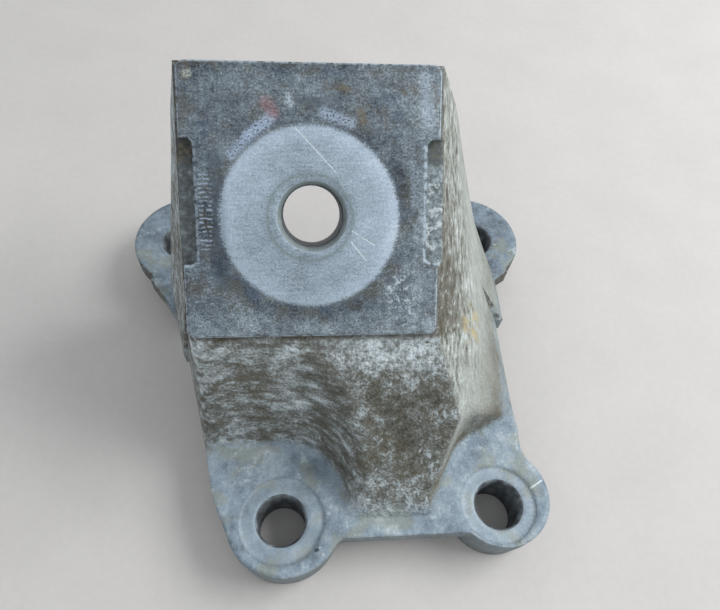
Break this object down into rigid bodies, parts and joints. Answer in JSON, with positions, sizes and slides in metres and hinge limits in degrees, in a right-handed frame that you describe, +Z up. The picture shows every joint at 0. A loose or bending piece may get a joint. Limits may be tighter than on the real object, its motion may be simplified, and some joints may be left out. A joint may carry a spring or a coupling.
{
  "type": "engine mount",
  "caption": "Hollow cast aluminium engine mount with a sloping bored head on a tapering tower and a flange with bolt lugs.",
  "frame": {"origin": "bottom centre of the casting: the middle of its width and depth, on the plane that the four feet stand on", "axes": "+Z up from the feet, +Y to the rear, towards the high edge of the sloping pad, +X to the right when the pad is seen from the front"},
  "size_m": [0.118, 0.1126, 0.0871],
  "materials": {
    "casting": "weathered as-cast aluminium with a dull machined pad"
  },
  "bodies": {
    "root": {"engine_mount": "casting"}
  },
  "joints": []
}
